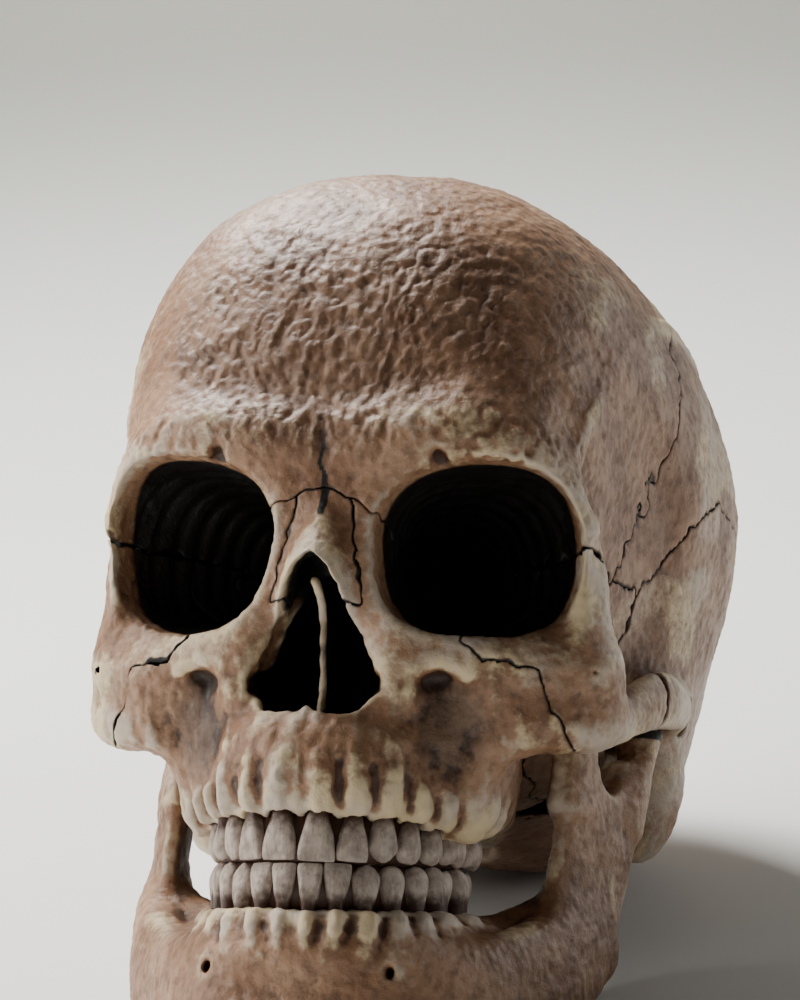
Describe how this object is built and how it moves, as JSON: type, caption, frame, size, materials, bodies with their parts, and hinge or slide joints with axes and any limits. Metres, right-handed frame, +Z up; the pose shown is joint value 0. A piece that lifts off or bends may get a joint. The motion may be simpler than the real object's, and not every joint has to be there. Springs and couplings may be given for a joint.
{
  "type": "human skull replica",
  "caption": "Life-size painted resin cast of an adult human skull with its lower jaw and teeth closed, lying on the base of the jaw and the back of the head.",
  "frame": {"origin": "on the floor under the middle of the skull's bounding box", "axes": "+Z up, +Y from the face to the back of the head, +X to the skull's own left"},
  "size_m": [0.14, 0.2284, 0.1736],
  "materials": {
    "bone": "matt brown wash with pale dry-brushed ridges",
    "inner_bone": "matt dark wash"
  },
  "bodies": {
    "root": {"frontal_bone": "bone", "parietal_left": "bone", "parietal_right": "bone", "occipital_bone": "bone", "temporal_left": "bone", "temporal_right": "bone", "sphenoid": "bone", "zygomatic_left": "bone", "zygomatic_right": "bone", "nasal_bones": "bone", "maxilla": "bone", "nasal_septum": "inner_bone", "mandible": "bone"}
  },
  "joints": []
}
